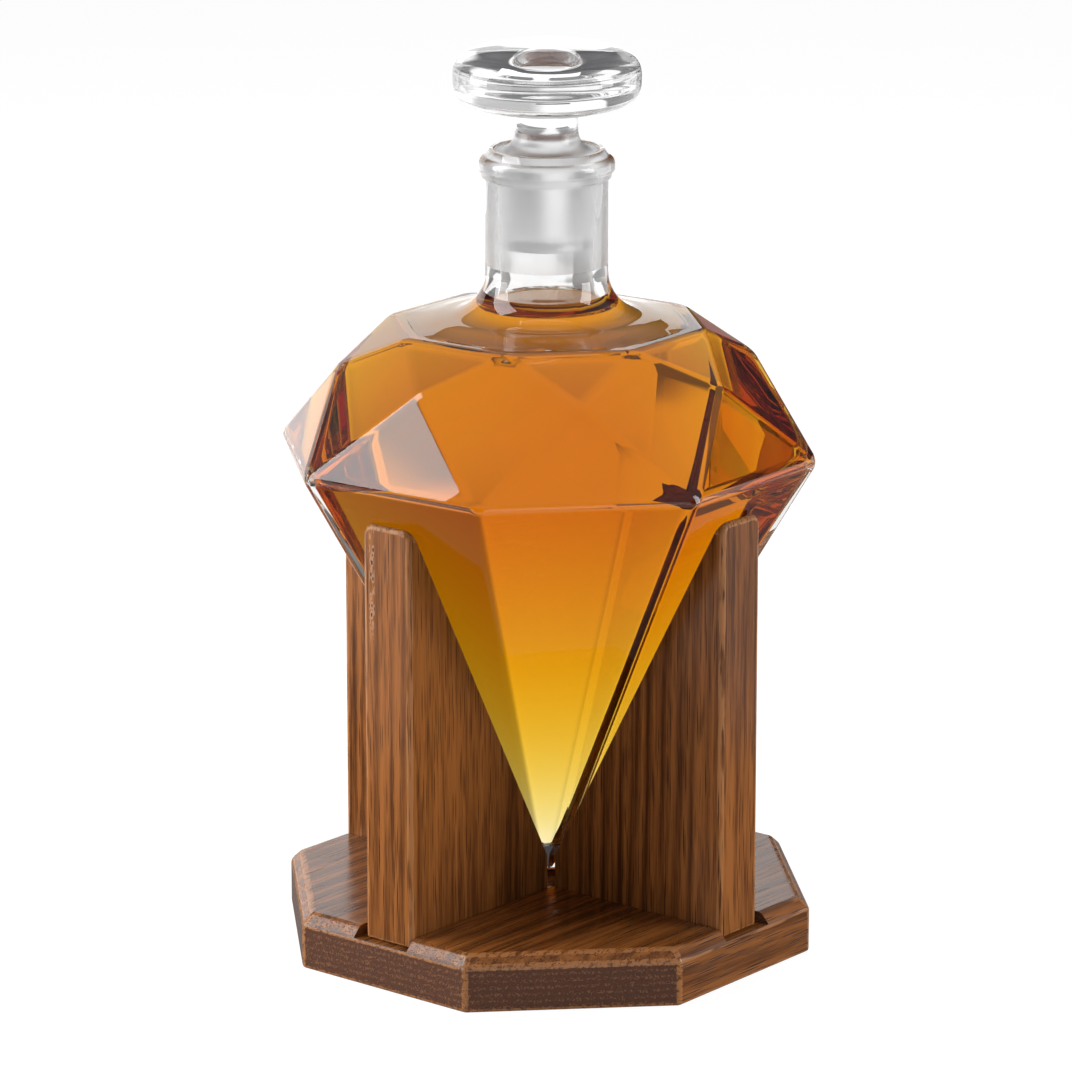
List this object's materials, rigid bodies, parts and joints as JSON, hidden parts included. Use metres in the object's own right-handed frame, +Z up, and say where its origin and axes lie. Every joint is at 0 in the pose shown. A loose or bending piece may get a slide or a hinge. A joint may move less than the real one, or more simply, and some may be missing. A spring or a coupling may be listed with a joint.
{
  "type": "faceted decanter in a wooden stand",
  "caption": "Gem-shaped faceted glass decanter with a ground glass stopper, hanging point down between the upright arms of an eight-sided wooden stand.",
  "frame": {"origin": "middle of the underside of the stand's base, on the axis of the neck, point and base", "axes": "+Z up along the neck's axis; a flat side of the eight-sided base faces -Y, the front, and +X is to its right; the arms stand on the diagonals"},
  "size_m": [0.1426, 0.1426, 0.2485],
  "materials": {
    "base_wood": "open-grained hardwood with dark walnut stain and glossy lacquer, lighter where the edges are sanded",
    "arm_wood": "open-grained hardwood with dark walnut stain and thin satin lacquer, grain upright",
    "decanter_glass": "clear polished glass, ground matt inside the upper neck",
    "stopper_glass": "clear polished solid glass knob and stem, ground matt plug",
    "screw_steel": "plain bright zinc-plated steel",
    "amber_drink": "clear amber spirit; contents shown by the scene only, no node uses it"
  },
  "bodies": {
    "stand": {"base_plate": "base_wood", "arm_front_left": "arm_wood", "arm_front_right": "arm_wood", "arm_back_right": "arm_wood", "arm_back_left": "arm_wood", "screw_front_left_inner": "screw_steel", "screw_front_left_outer": "screw_steel", "screw_front_right_inner": "screw_steel", "screw_front_right_outer": "screw_steel", "screw_back_right_inner": "screw_steel", "screw_back_right_outer": "screw_steel", "screw_back_left_inner": "screw_steel", "screw_back_left_outer": "screw_steel"},
    "decanter": {"decanter_body": "decanter_glass"},
    "stopper": {"stopper": "stopper_glass"}
  },
  "joints": [
    {"name": "decanter_lift", "type": "slide", "parent": "stand", "child": "decanter", "axis": [0, 0, 1], "range_m": [0, 0.12]},
    {"name": "stopper_lift", "type": "slide", "parent": "decanter", "child": "stopper", "axis": [0, 0, 1], "range_m": [0, 0.04]}
  ]
}
